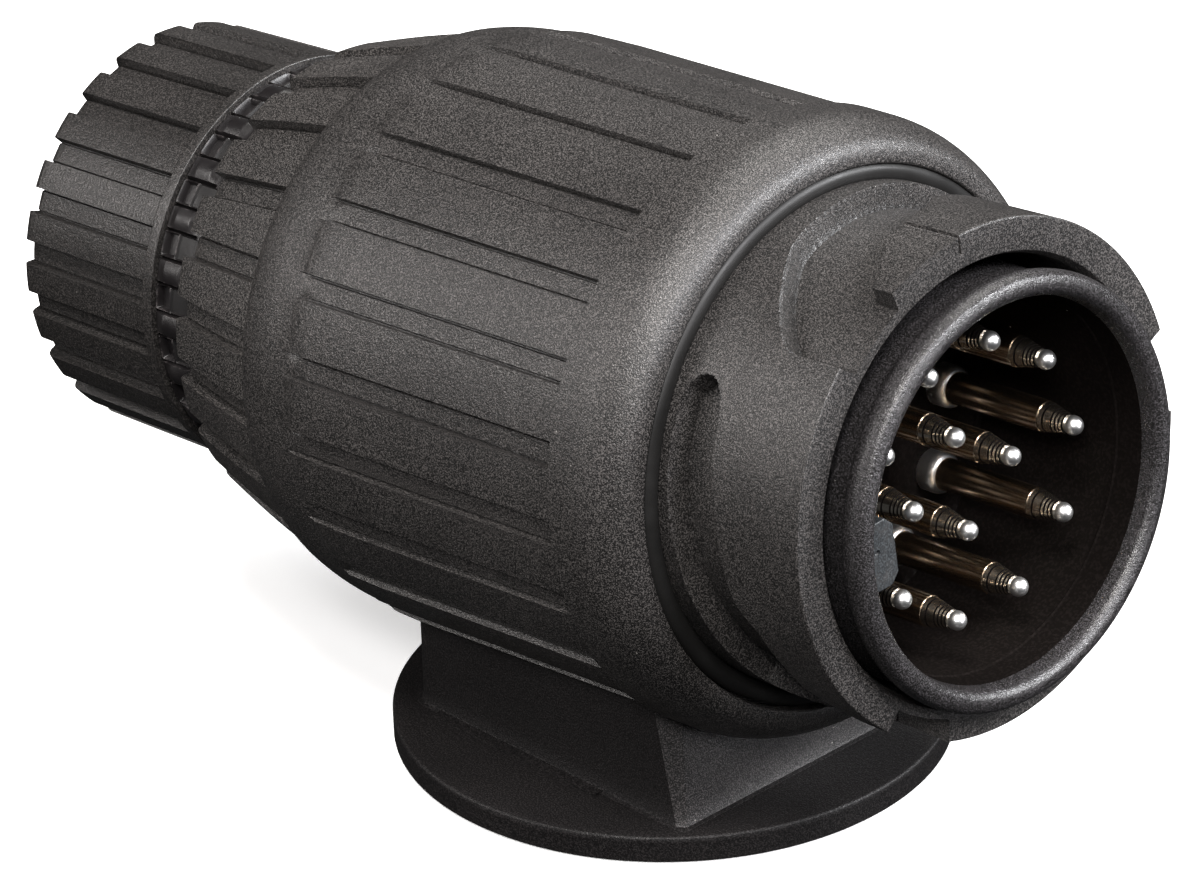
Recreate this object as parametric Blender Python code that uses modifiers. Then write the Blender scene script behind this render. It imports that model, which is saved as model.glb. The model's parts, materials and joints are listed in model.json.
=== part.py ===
"""Thirteen-pin bayonet trailer plug with a cable gland, standing on a round foot.

The plug is modelled along its own axis: local +Z points out of the mouth, local +X is the side away
from the foot, and zero on Z is the rim of the mouth. One empty, plug_axis, carries that frame. It is
tilted a little nose-up over the foot, whose flat underside is centred on the world origin.
Stations along the axis and radii are given in millimetres. Angles are in degrees about the axis.
"""

from math import atan2, cos, degrees, pi, radians, sin

import bmesh
import bpy
from mathutils import Matrix, Vector

MM = 0.001
GAP = 0.3  # running and assembly gap between pieces

# How the plug sits on its foot
TILT = 5.3  # nose-up angle of the plug's axis over the foot
RIM_FORWARD = 42.5  # from the foot's centre to the centre of the mouth's rim
RIM_HEIGHT = 38.7

# Foot
FOOT_RADIUS = 25.35
FOOT_THICKNESS = 2.7
PILLAR_LENGTH = 34.6
PILLAR_WIDTH = 33.0
PILLAR_OFFSET = 0.4
PILLAR_HEIGHT = 22.0
PILLAR_CORNER = 1.6

# Grip sleeve: a barrel with raised pads between narrow strips, and the bayonet collar
BARREL_FRONT = -20.0
BARREL_REAR = -69.5
BARREL_RADIUS = 28.0  # of the plain band in front
PAD_RADIUS = 27.65
STRIP_RADIUS = 27.2
PAD_FRONT, PAD_REAR = -28.3, -62.2
BARREL_BORE = 24.7
SHOULDER = -25.0  # where the narrow bore under the collar opens into the barrel's bore
COLLAR_FRONT = -3.2
COLLAR_RADIUS = 23.35
COLLAR_ROOT_RADIUS = 22.6
COLLAR_MOUTH_RADIUS = 20.7
COLLAR_BORE = 19.6
STRIPS = 24
STRIP_PHASE = 31.4
STRIP_WIDTH = 2.3
PILLAR_SECTOR = 36.0  # half the angle that the pillar covers, which has no strips

# Bayonet channels: an entry slot in the collar's rim, then a track that narrows behind the lug
SLOT_CENTRES = (34.5, 151.5, 274.5)
SLOT_WIDTH = 20.0
TRACK_SWEEP = 107.0
CHANNEL_FLOOR_FRONT, CHANNEL_FLOOR_REAR = 21.05, 20.4  # the floor sinks towards the barrel
CHANNEL_TOP = 26.0
# Along the track, from the slot's far side: (angle, edge on the lug's side, edge on the barrel's side)
TRACK_EDGES = (
    (0.0, 0.0, -8.8),
    (6.0, 0.0, -11.7),
    (12.0, 0.0, -13.6),
    (19.0, 0.0, -15.4),
    (20.1, -5.4, -15.6),
    (27.0, -6.6, -16.7),
    (32.0, -8.6, -17.0),
    (41.0, -9.4, -17.5),
    (50.0, -10.6, -17.9),
    (64.0, -12.5, -18.2),
    (80.0, -13.4, -18.5),
    (95.0, -14.2, -18.8),
    (102.0, -14.5, -18.6),
    (105.5, -15.2, -17.9),
    (TRACK_SWEEP, -16.0, -17.2),
)

# Contact tube, the inner shell with the rolled rim
RIM_CREST = 0.6
RIM_RADIUS = 19.5
TUBE_RADIUS = 18.6
MOUTH_RADIUS = 17.1
FLANGE_FRONT, FLANGE_REAR = -25.3, -28.9
FLANGE_RADIUS = 24.2
TUBE_REAR_RADIUS = 21.5
TUBE_REAR = -57.0
KEY_ANGLE = 92.5
KEY_FRONT = -2.0
KEY_REAR = -20.2
KEY_TIP_RADIUS = 12.75
KEY_WIDTH = 6.3
KEY_CHAMFER = 0.9

# Contacts
CARRIER_FRONT, CARRIER_REAR = -20.5, -27.0
BLOCK_FRONT, BLOCK_REAR = -27.3, -37.0
PIN_TIP = -3.9
PIN_RADIUS = 1.45
PIN_BALL = 0.82
PIN_CONE_LENGTH = 2.4
NECK_RADIUS = 1.7
NECK_STEP = 1.0  # how deep the neck sits in the carrier, and in the terminal block
TERMINAL_RADIUS = 1.9
WIRE_BORE = 1.1
WIRE_BORE_DEPTH = 8.0
OUTER_TERMINAL_REAR = -45.0
INNER_TERMINAL_REAR = -52.5
SCREW_RADIUS = 0.9
SCREW_SETBACK = 3.4  # from a terminal's rear end to its screw
SCREW_HEAD = 2.5  # from a contact's axis to the outer end of its screw
DRIVER_SLOT = (0.8, 0.35, 3.0)
PIN_RING = 12.3
PIN_RING_COUNT = 9
PIN_PITCH = 36.6  # degrees; the ring is centred opposite the key
INNER_PINS = ((4.84, 2.07), (0.62, -4.43), (-4.13, 1.44), (0.1, 7.72))  # up, and towards the key

# Detent leaf between the tube and the sleeve
LEAF_FRONT, LEAF_REAR = -34.0, -40.0
LEAF_HALF_ANGLE = 22.0
LEAF_BOW = 2.1
LEAF_THICKNESS = 0.4
LEAF_STEPS = 8

# Rear housing with its ribbed collar
RIBBED_FRONT, RIBBED_REAR = -69.9, -83.2
RIBBED_FRONT_RADIUS, RIBBED_REAR_RADIUS = 25.7, 22.1
RIBS = 24
RIB_GAP_PHASE = 2.0
RIB_GAP_WIDTH = 2.3
RIB_DEPTH = 0.8
SKIRT_BORE = 19.7
SKIRT_FLOOR = -78.5
SPIGOT_RADIUS = 14.2
SPIGOT_REAR = -98.0
SPIGOT_BORE = 9.6
HOUSING_FRONT = -49.0
HOUSING_BORE = 14.0

# Gland: claw ring, thrust washer, grommet and cap nut
CLAW_FRONT, CLAW_REAR = -80.5, -88.1
CLAWS = 24
CLAW_RADIUS = 19.1
CLAW_ROOT_RADIUS = 17.4
CLAW_PHASE = 8.2
CLAW_WIDTH = 2.9
NUT_FRONT, NUT_REAR = -88.4, -108.0
NUT_FLANGE_REAR = -90.5
NUT_FRONT_RADIUS, NUT_REAR_RADIUS = 19.35, 19.0
NUT_GAP_PHASE = 4.2
NUT_GAP_WIDTH = 2.1
NUT_RIB_DEPTH = 1.0
NUT_SEAT = -101.6
CABLE_OUTLET = 6.4
GROMMET_FRONT, GROMMET_REAR = -86.0, -99.6
GROMMET_BORE = 4.6
WASHER_SECTION = ((1.7, 13.6), (GAP, 13.6), (GAP, 6.9), (1.7, 6.9))  # from the nut's seat, and radius


def clear_scene():
    for obj in list(bpy.data.objects):
        bpy.data.objects.remove(obj, do_unlink=True)
    for name in ("trailer_plug", "cutters"):
        collection = bpy.data.collections.new(name)
        bpy.context.scene.collection.children.link(collection)
    return bpy.data.collections["trailer_plug"], bpy.data.collections["cutters"]


def material(name, colour, roughness, metallic=0.0):
    made = bpy.data.materials.new(name)
    made.use_nodes = True
    shader = made.node_tree.nodes["Principled BSDF"]
    shader.inputs["Base Color"].default_value = (*colour, 1.0)
    shader.inputs["Roughness"].default_value = roughness
    shader.inputs["Metallic"].default_value = metallic
    return made


def polar(radius, angle, station):
    """A point given by radius and angle about the plug's axis and station along it."""
    turn = radians(angle)
    return Vector((radius * cos(turn), radius * sin(turn), station)) * MM


def add(name, mesh, finish):
    obj = bpy.data.objects.new(name, mesh)
    obj.parent = axis
    if finish is None:
        cutters.objects.link(obj)
        obj.hide_render = True
        obj.display_type = "WIRE"
    else:
        mesh.materials.append(finish)
        parts.objects.link(obj)
    return obj


def turned(name, profile, finish, steps=48, place=(0.0, 0.0, 0.0)):
    """A closed profile of (station, radius) points, given down its outer side and back up inside."""
    mesh = bpy.data.meshes.new(name)
    points = [(radius * MM, 0.0, station * MM) for station, radius in profile]
    count = len(points)
    if profile[0][1] == 0.0 and profile[-1][1] == 0.0:
        edges = [(i, i + 1) for i in range(count - 1)]
    else:
        edges = [(i, (i + 1) % count) for i in range(count)]
    mesh.from_pydata(points, edges, [])
    obj = add(name, mesh, finish)
    obj.location = place
    screw = obj.modifiers.new("Turn", "SCREW")
    screw.axis = "Z"
    screw.steps = screw.render_steps = steps
    screw.use_merge_vertices = True
    screw.merge_threshold = 0.00001
    screw.use_smooth_shade = True
    return obj


def from_bmesh(name, work, finish):
    bmesh.ops.recalc_face_normals(work, faces=work.faces)
    mesh = bpy.data.meshes.new(name)
    work.to_mesh(mesh)
    work.free()
    return add(name, mesh, finish)


def cylinder(work, radius, low, high, segments):
    """Adds an upright cylinder on the axis between two heights, and returns its vertices."""
    made = bmesh.ops.create_cone(
        work,
        cap_ends=True,
        segments=segments,
        radius1=radius * MM,
        radius2=radius * MM,
        depth=(high - low) * MM,
    )["verts"]
    bmesh.ops.translate(work, verts=made, vec=(0, 0, (low + high) / 2 * MM))
    return made


def boolean(obj, tool, operation="DIFFERENCE"):
    modifier = obj.modifiers.new(tool.name, "BOOLEAN")
    modifier.operation = operation
    modifier.object = tool
    modifier.solver = "EXACT"


def radial_bars(name, angles, stations, floors, top, width, finish=None):
    """Bars set round the axis: each runs between two stations, with a floor radius at each end."""
    work = bmesh.new()
    for angle in angles:
        corners = bmesh.ops.create_cube(work, size=1.0)["verts"]
        for corner in corners:
            rear = corner.co.z > 0
            radius = top if corner.co.x > 0 else floors[rear]
            across = Vector((radius, corner.co.y * width, stations[rear])) * MM
            corner.co = Matrix.Rotation(radians(angle), 3, "Z") @ across
    return from_bmesh(name, work, finish)


def channel_floor(station):
    share = (COLLAR_FRONT - station) / (COLLAR_FRONT - BARREL_FRONT)
    return CHANNEL_FLOOR_FRONT + (CHANNEL_FLOOR_REAR - CHANNEL_FLOOR_FRONT) * share


def channel_cutter(name, start):
    """One bayonet channel, wrapped round the axis: a loft through its sections along the track."""
    work = bmesh.new()
    rings = []
    for sweep, lug_edge, barrel_edge in TRACK_EDGES:
        angle = start - sweep
        corners = [(channel_floor(station), station) for station in (lug_edge, barrel_edge)]
        corners += [(CHANNEL_TOP, station) for station in (barrel_edge, lug_edge)]
        rings.append([work.verts.new(polar(radius, angle, station)) for radius, station in corners])
    work.faces.new(rings[0])
    work.faces.new(rings[-1])
    for here, there in zip(rings, rings[1:]):
        for i in range(4):
            j = (i + 1) % 4
            work.faces.new((here[i], here[j], there[j], there[i]))
    return from_bmesh(name, work, None)


def make_foot(finish):
    """Round foot with a pillar whose top is shaped to the underside of the barrel."""
    work = bmesh.new()
    cylinder(work, FOOT_RADIUS, 0.0, FOOT_THICKNESS, 64)
    foot = from_bmesh("grip_foot", work, finish)
    foot.parent = None
    pillar = make_pillar()
    saddle = turned(
        "barrel_clearance",
        (
            (BARREL_FRONT + GAP, 0.0),
            (BARREL_FRONT + GAP, 26.2),
            (BARREL_FRONT - 1.3, 27.4),
            (-24.2, BARREL_RADIUS + GAP),
            (PAD_FRONT - GAP, BARREL_RADIUS + GAP),
            (PAD_FRONT - GAP, PAD_RADIUS + GAP),
            (PAD_REAR - GAP, PAD_RADIUS + GAP),
            (BARREL_REAR - GAP, BARREL_RADIUS - 1.2),
            (BARREL_REAR - GAP, 0.0),
        ),
        None,
    )
    boolean(foot, pillar, "UNION")
    boolean(foot, saddle)


def make_pillar():
    """The upright block between disc and barrel, before the barrel's shape is cut from its top."""
    work = bmesh.new()
    bmesh.ops.create_cube(work, size=1.0)
    bmesh.ops.scale(work, verts=work.verts, vec=Vector((PILLAR_LENGTH, PILLAR_WIDTH, PILLAR_HEIGHT)) * MM)
    upright = [e for e in work.edges if abs((e.verts[0].co - e.verts[1].co).normalized().z) > 0.9]
    bmesh.ops.bevel(
        work, geom=upright, offset=PILLAR_CORNER * MM, segments=3, affect="EDGES", profile=0.5
    )
    pillar = from_bmesh("pillar", work, None)
    pillar.parent = None
    pillar.location = (PILLAR_OFFSET * MM, 0.0, (PILLAR_HEIGHT / 2 + 1.0) * MM)
    return pillar


def make_sleeve(finish):
    """Barrel and bayonet collar in one moulding."""
    sleeve = turned(
        "grip_sleeve",
        (
            (COLLAR_FRONT, COLLAR_RADIUS),
            (-20.9, COLLAR_ROOT_RADIUS),
            (-21.9, COLLAR_ROOT_RADIUS),
            (-21.9, 24.3),
            (BARREL_FRONT - 0.5, 24.4),
            (BARREL_FRONT, 25.1),
            (BARREL_FRONT - 0.3, 25.9),
            (BARREL_FRONT - 1.2, 26.8),
            (-22.6, 27.5),
            (-25.0, 27.95),
            (PAD_FRONT, BARREL_RADIUS),
            (PAD_FRONT, PAD_RADIUS),
            (PAD_REAR, PAD_RADIUS),
            (PAD_REAR, STRIP_RADIUS - 0.05),
            (-66.0, 26.9),
            (-68.2, 26.5),
            (-69.2, 26.0),
            (BARREL_REAR, 25.4),
            (BARREL_REAR, BARREL_BORE),
            (-30.6, BARREL_BORE),
            (-30.6, 25.7),
            (-29.2, 25.7),
            (-29.2, BARREL_BORE),
            (SHOULDER, BARREL_BORE),
            (SHOULDER, COLLAR_BORE),
            (COLLAR_FRONT - 1.4, COLLAR_BORE),
            (COLLAR_FRONT, COLLAR_MOUTH_RADIUS),
        ),
        finish,
    )
    pitch = 360.0 / STRIPS
    angles = [STRIP_PHASE + pitch * i for i in range(STRIPS)]
    angles = [a for a in angles if abs(a - 180.0) > PILLAR_SECTOR]
    reach = (PAD_FRONT - GAP, PAD_REAR - 0.2)
    strips = radial_bars("strips", angles, reach, (STRIP_RADIUS,) * 2, 30.0, STRIP_WIDTH)
    boolean(sleeve, strips)
    for i, centre in enumerate(SLOT_CENTRES):
        boolean(sleeve, channel_cutter(f"bayonet_channel_{i + 1}", centre + SLOT_WIDTH / 2))


def ring_profile(station, radius, section, points=8):
    """A round section for a seal ring, as a closed profile."""
    turns = [2 * pi * i / points for i in range(points)]
    return [(station - section * sin(t), radius + section * cos(t)) for t in turns]


def make_grip_inner(rubber, steel):
    turned("front_seal", ring_profile(-20.75, 23.4, 0.45), rubber)
    ring = turned(
        "retaining_ring", ((-29.5, 25.4), (-30.3, 25.4), (-30.3, 22.4), (-29.5, 22.4)), steel, steps=36
    )
    boolean(ring, radial_bars("ring_gap", (180.0,), (-28.0, -32.0), (20.0, 20.0), 27.0, 6.0))


def make_contact_tube(finish):
    """Inner shell: rolled rim, mouth, bearing flange and rear tube, with the key inside its wall."""
    tube = turned(
        "contact_tube",
        (
            (RIM_CREST, 18.3),
            (0.3, 19.0),
            (-0.5, RIM_RADIUS),
            (-1.4, 19.3),
            (-2.2, TUBE_RADIUS),
            (FLANGE_FRONT, TUBE_RADIUS),
            (FLANGE_FRONT, FLANGE_RADIUS),
            (FLANGE_REAR, FLANGE_RADIUS),
            (FLANGE_REAR, TUBE_REAR_RADIUS),
            (TUBE_REAR, TUBE_REAR_RADIUS),
            (TUBE_REAR, MOUTH_RADIUS),
            (-0.5, MOUTH_RADIUS),
            (0.3, 17.5),
        ),
        finish,
    )
    key = radial_bars(
        "key", (KEY_ANGLE,), (KEY_FRONT, KEY_REAR), (KEY_TIP_RADIUS,) * 2, MOUTH_RADIUS + 0.8, KEY_WIDTH
    )
    chamfer = key.modifiers.new("Chamfer", "BEVEL")
    chamfer.width = KEY_CHAMFER * MM
    chamfer.segments = 1
    boolean(tube, key, "UNION")


def pin_places():
    """(name suffix, place across the axis, rear end of the terminal) of each contact."""
    first = KEY_ANGLE + 180.0 - PIN_PITCH * (PIN_RING_COUNT - 1) / 2
    outer = [polar(PIN_RING, first + PIN_PITCH * i, 0.0) for i in range(PIN_RING_COUNT)]
    inner = [Vector((up, side, 0.0)) * MM for up, side in INNER_PINS]
    rows = [(place, OUTER_TERMINAL_REAR) for place in outer]
    rows += [(place, INNER_TERMINAL_REAR) for place in inner]
    return [(f"{i + 1:02d}", place, rear) for i, (place, rear) in enumerate(rows)]


def make_contacts(nickel, brass):
    """Each contact is one turned pin with its screw terminal behind it, and a clamping screw."""
    for number, place, rear in pin_places():
        pin = turned(
            f"pin_{number}",
            (
                (PIN_TIP, 0.0),
                (PIN_TIP - 0.3, 0.6),
                (PIN_TIP - PIN_BALL, PIN_BALL),
                (PIN_TIP - 2 * PIN_BALL, PIN_BALL),
                (PIN_TIP - 2 * PIN_BALL - PIN_CONE_LENGTH, PIN_RADIUS),
                (CARRIER_REAR + NECK_STEP, PIN_RADIUS),
                (CARRIER_REAR + NECK_STEP, NECK_RADIUS),
                (BLOCK_FRONT - NECK_STEP, NECK_RADIUS),
                (BLOCK_FRONT - NECK_STEP, TERMINAL_RADIUS),
                (rear, TERMINAL_RADIUS),
                (rear, WIRE_BORE),
                (rear + WIRE_BORE_DEPTH, WIRE_BORE),
                (rear + WIRE_BORE_DEPTH, 0.0),
            ),
            nickel,
            steps=10,
            place=place,
        )
        middle = place + Vector((0, 0, (rear + SCREW_SETBACK) * MM))
        outward = atan2(place.y, place.x)
        hole = (f"screw_hole_{number}", SCREW_RADIUS + GAP, (WIRE_BORE / 2, 2 * TERMINAL_RADIUS))
        boolean(pin, cross_cylinder(*hole, middle, outward))
        shank = (f"terminal_screw_{number}", SCREW_RADIUS, (WIRE_BORE + 0.1, SCREW_HEAD))
        screw = cross_cylinder(*shank, middle, outward, brass)
        slot = bmesh.new()
        bmesh.ops.create_cube(slot, size=1.0)
        bmesh.ops.scale(slot, verts=slot.verts, vec=Vector(DRIVER_SLOT) * MM)
        cutter = from_bmesh(f"driver_slot_{number}", slot, None)
        cutter.location = middle + polar(SCREW_HEAD, degrees(outward), 0.0)
        cutter.rotation_euler = (0.0, 0.0, outward)
        boolean(screw, cutter)


def cross_cylinder(name, radius, span, middle, outward, finish=None):
    """A cylinder square to the axis that points outward from a contact, over a span of distances."""
    work = bmesh.new()
    cylinder(work, radius, *span, 10)
    obj = from_bmesh(name, work, finish)
    obj.location = middle
    obj.rotation_euler = (0.0, pi / 2, outward)
    return obj


def make_carriers(finish):
    """Two insulating discs: the one seen behind the pins, and the one that holds the terminals."""
    rim = MOUTH_RADIUS - GAP
    carrier = turned(
        "contact_carrier",
        (
            (CARRIER_FRONT, 0.0),
            (CARRIER_FRONT, rim - 0.5),
            (CARRIER_FRONT - 0.5, rim),
            (CARRIER_REAR, rim),
            (CARRIER_REAR, 0.0),
        ),
        finish,
    )
    block = turned(
        "terminal_block",
        ((BLOCK_FRONT, 0.0), (BLOCK_FRONT, rim), (BLOCK_REAR, rim), (BLOCK_REAR, 0.0)),
        finish,
    )
    steps = (
        ("pin_holes", carrier, PIN_RADIUS, CARRIER_FRONT + 1.0, CARRIER_REAR - 1.0),
        ("collar_holes", carrier, NECK_RADIUS, CARRIER_REAR + NECK_STEP + GAP, CARRIER_REAR - 1.0),
        ("neck_holes", block, NECK_RADIUS, BLOCK_FRONT + 1.0, BLOCK_REAR - 1.0),
        ("terminal_holes", block, TERMINAL_RADIUS, BLOCK_FRONT - NECK_STEP + GAP, BLOCK_REAR - 1.0),
    )
    for name, obj, radius, front, rear in steps:
        work = bmesh.new()
        for _, place, _ in pin_places():
            hole = cylinder(work, radius + GAP, rear, front, 10)
            bmesh.ops.translate(work, verts=hole, vec=place)
        boolean(obj, from_bmesh(name, work, None))


def make_rear_housing(finish, rubber):
    """Rear half of the insert: bearing land, conical ribbed collar, claw recess and gland spigot."""
    housing = turned(
        "rear_housing",
        (
            (HOUSING_FRONT, MOUTH_RADIUS - GAP),
            (TUBE_REAR - GAP, MOUTH_RADIUS - GAP),
            (TUBE_REAR - GAP, FLANGE_RADIUS),
            (-61.0, FLANGE_RADIUS),
            (-61.0, 22.7),
            (-63.2, 22.7),
            (-63.2, FLANGE_RADIUS),
            (RIBBED_FRONT, FLANGE_RADIUS),
            (RIBBED_FRONT, RIBBED_FRONT_RADIUS),
            (RIBBED_REAR + 0.5, RIBBED_REAR_RADIUS),
            (RIBBED_REAR, RIBBED_REAR_RADIUS - 0.5),
            (RIBBED_REAR, SKIRT_BORE),
            (SKIRT_FLOOR, SKIRT_BORE),
            (SKIRT_FLOOR, SPIGOT_RADIUS),
            (SPIGOT_REAR + 0.6, SPIGOT_RADIUS),
            (SPIGOT_REAR, SPIGOT_RADIUS - 0.6),
            (SPIGOT_REAR, SPIGOT_BORE),
            (-79.0, SPIGOT_BORE),
            (-73.0, HOUSING_BORE),
            (HOUSING_FRONT, HOUSING_BORE),
        ),
        finish,
    )
    pitch = 360.0 / RIBS
    floors = (RIBBED_FRONT_RADIUS - RIB_DEPTH, RIBBED_REAR_RADIUS - RIB_DEPTH)
    gaps = radial_bars(
        "rib_gaps",
        [RIB_GAP_PHASE + pitch * i for i in range(RIBS)],
        (RIBBED_FRONT - 0.4, RIBBED_REAR - 1.0),
        floors,
        28.0,
        RIB_GAP_WIDTH,
    )
    boolean(housing, gaps)
    turned("rear_seal", ring_profile(-62.1, 23.7, 0.65), rubber, steps=40)


def make_detent_spring(finish):
    """A leaf of spring steel on the tube, bowed up towards the sleeve's bore."""
    work = bmesh.new()
    previous = None
    for i in range(LEAF_STEPS + 1):
        share = i / LEAF_STEPS
        angle = 180.0 + LEAF_HALF_ANGLE * (2 * share - 1)
        radius = TUBE_REAR_RADIUS + GAP + 0.1 + LEAF_BOW * sin(pi * share) ** 2
        pair = [work.verts.new(polar(radius, angle, station)) for station in (LEAF_FRONT, LEAF_REAR)]
        if previous:
            work.faces.new((*previous, pair[1], pair[0]))
        previous = pair
    leaf = from_bmesh("detent_spring", work, finish)
    thick = leaf.modifiers.new("Thickness", "SOLIDIFY")
    thick.thickness = LEAF_THICKNESS * MM
    thick.offset = 1.0


def make_gland(black, rubber, steel):
    ring = turned(
        "claw_ring",
        (
            (CLAW_FRONT, CLAW_ROOT_RADIUS),
            (CLAW_REAR, CLAW_ROOT_RADIUS),
            (CLAW_REAR, SPIGOT_RADIUS + GAP),
            (CLAW_FRONT, SPIGOT_RADIUS + GAP),
        ),
        black,
    )
    pitch = 360.0 / CLAWS
    claws = radial_bars(
        "claws",
        [CLAW_PHASE + pitch * i for i in range(CLAWS)],
        (CLAW_FRONT - 1.2, CLAW_REAR + 0.02),
        (16.5, 16.5),
        CLAW_RADIUS,
        CLAW_WIDTH,
    )
    boolean(ring, claws, "UNION")
    turned(
        "thrust_washer",
        [(NUT_SEAT + shift, radius) for shift, radius in WASHER_SECTION],
        steel,
        steps=32,
    )
    outer = SPIGOT_BORE - 0.4
    turned(
        "cable_grommet",
        (
            (GROMMET_FRONT, 7.2),
            (GROMMET_FRONT - 4.0, outer),
            (GROMMET_REAR, outer),
            (GROMMET_REAR, GROMMET_BORE),
            (GROMMET_FRONT - 0.5, GROMMET_BORE),
            (GROMMET_FRONT, GROMMET_BORE + 0.5),
        ),
        rubber,
        steps=32,
    )


def make_cap_nut(finish):
    """Gland nut: ribs over a slight taper, a plain flange in front and the cable outlet behind."""
    nut = turned(
        "cap_nut",
        (
            (NUT_FRONT, NUT_FRONT_RADIUS - 0.3),
            (NUT_FRONT - 0.3, NUT_FRONT_RADIUS + 0.1),
            (NUT_FLANGE_REAR, NUT_FRONT_RADIUS),
            (NUT_REAR + 0.8, NUT_REAR_RADIUS),
            (NUT_REAR, NUT_REAR_RADIUS - 0.8),
            (NUT_REAR, CABLE_OUTLET + 0.8),
            (NUT_REAR + 0.8, CABLE_OUTLET),
            (-104.6, CABLE_OUTLET),
            (NUT_SEAT, 9.0),
            (NUT_SEAT, SPIGOT_RADIUS + GAP),
            (NUT_FRONT, SPIGOT_RADIUS + GAP),
        ),
        finish,
    )
    pitch = 360.0 / RIBS
    gaps = radial_bars(
        "nut_gaps",
        [NUT_GAP_PHASE + pitch * i for i in range(RIBS)],
        (NUT_FLANGE_REAR, NUT_REAR - 1.0),
        (NUT_FRONT_RADIUS - NUT_RIB_DEPTH, NUT_REAR_RADIUS - NUT_RIB_DEPTH),
        22.0,
        NUT_GAP_WIDTH,
    )
    boolean(nut, gaps)


parts, cutters = clear_scene()
axis = bpy.data.objects.new("plug_axis", None)
parts.objects.link(axis)
axis.location = (RIM_FORWARD * MM, 0.0, RIM_HEIGHT * MM)
to_nose = Matrix.Rotation(pi / 2, 3, "Y") @ Matrix.Rotation(pi, 3, "Z")
axis.rotation_euler = (Matrix.Rotation(-radians(TILT), 3, "Y") @ to_nose).to_euler()

grip_black = material("grip_black", (0.035, 0.034, 0.033), 0.55)
insert_black = material("insert_black", (0.03, 0.03, 0.031), 0.5)
nut_black = material("nut_black", (0.04, 0.039, 0.037), 0.45)
gloss_black = material("gloss_black", (0.012, 0.012, 0.012), 0.25)
seal_rubber = material("seal_rubber", (0.03, 0.03, 0.03), 0.4)
nickel_plate = material("nickel_plate", (0.72, 0.7, 0.66), 0.12, 1.0)
brass_screw = material("brass_screw", (0.75, 0.6, 0.32), 0.3, 1.0)
spring_steel = material("spring_steel", (0.6, 0.6, 0.6), 0.3, 1.0)

make_foot(grip_black)
make_sleeve(grip_black)
make_grip_inner(seal_rubber, spring_steel)
make_contact_tube(insert_black)
make_contacts(nickel_plate, brass_screw)
make_carriers(insert_black)
make_rear_housing(grip_black, seal_rubber)
make_detent_spring(spring_steel)
make_gland(gloss_black, seal_rubber, spring_steel)
make_cap_nut(nut_black)
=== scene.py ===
"""Looks for the trailer plug: each visible piece at full detail, its materials, and a photo studio.

Pieces of revolution are modelled along the plug's own axis, in millimetres: a station is a distance
along the axis, zero at the rim of the mouth and negative towards the cable, and an angle counts in
degrees from the top of the plug towards its -Y side.
"""

import json
from math import cos, pi, radians, sin

import bmesh
import bpy
import numpy as np
from mathutils import Matrix, Vector


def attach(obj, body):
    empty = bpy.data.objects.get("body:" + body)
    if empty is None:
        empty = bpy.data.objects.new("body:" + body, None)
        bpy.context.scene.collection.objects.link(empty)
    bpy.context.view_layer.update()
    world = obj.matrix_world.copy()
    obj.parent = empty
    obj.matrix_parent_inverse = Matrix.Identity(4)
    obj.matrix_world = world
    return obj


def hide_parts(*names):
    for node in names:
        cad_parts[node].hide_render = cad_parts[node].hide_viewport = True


MM = 0.001

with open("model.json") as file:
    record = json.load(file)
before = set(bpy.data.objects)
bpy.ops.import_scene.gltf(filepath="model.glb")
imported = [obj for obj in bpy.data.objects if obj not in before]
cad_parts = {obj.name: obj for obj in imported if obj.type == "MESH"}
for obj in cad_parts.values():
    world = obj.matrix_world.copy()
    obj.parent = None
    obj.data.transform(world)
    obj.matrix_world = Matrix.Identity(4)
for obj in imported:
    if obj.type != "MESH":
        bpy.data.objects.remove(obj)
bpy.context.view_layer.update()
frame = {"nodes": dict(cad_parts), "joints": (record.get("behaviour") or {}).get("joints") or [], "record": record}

JOINT = next(joint for joint in frame["joints"] if joint["name"] == "bayonet_twist")
RIM_CENTRE = Vector(JOINT["pos_m"])
FORWARD = -Vector(JOINT["axis"]).normalized()
UP = Vector((-FORWARD.z, 0.0, FORWARD.x))
PLUG_TURN = Matrix((FORWARD, UP.cross(FORWARD), UP)).transposed().to_4x4()
PLUG_FRAME = Matrix.Translation(RIM_CENTRE) @ PLUG_TURN

# Camera, fitted to the photograph, which looks at a point just above the foot
CAMERA_AZIMUTH, CAMERA_ELEVATION, CAMERA_ROLL = 46.507, 27.969, -1.876
CAMERA_DISTANCE = 0.72575
CAMERA_TARGET = Vector((-0.00855, 0.0, 0.0252))
CAMERA_LENS = 243.11

WORLD_STRENGTH = 0.02
FLOOR_HALF = 6.0
FLOOR_SHADE = (0.86, 0.86, 0.86, 1.0)
FLOOR_GLOW = 0.4  # keeps the shadow on the floor pale

# Softboxes: name, azimuth, elevation, distance, size, power, colour
LIGHTS = (
    ("front_light", 42.0, 38.0, 1.4, 0.3, 12.5, (1.0, 0.98, 0.97)),
    ("high_front_light", 40.0, 62.0, 1.2, 0.25, 13.0, (1.0, 0.96, 0.93)),
    ("left_light", -40.0, 26.0, 1.4, 0.6, 10.5, (1.0, 0.96, 0.94)),
    ("low_left_light", -10.0, 5.0, 1.4, 0.5, 0.8, (0.97, 0.97, 1.0)),
    ("right_light", 110.0, 8.0, 1.4, 0.5, 5.6, (0.96, 0.96, 1.0)),
    ("high_right_light", 92.0, 42.0, 1.4, 0.4, 20.0, (0.98, 0.97, 1.0)),
    ("rear_light", 200.0, 58.0, 1.4, 0.6, 10.5, (1.0, 0.98, 0.94)),
    ("rear_right_light", 140.0, 30.0, 1.4, 0.4, 28.0, (0.97, 0.98, 1.0)),
)

PITCH = 15.0  # of the strips, ribs and claws, 24 to a turn
SHARP_ANGLE = 36.0  # edges that turn by more than this are shaded sharp


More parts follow.
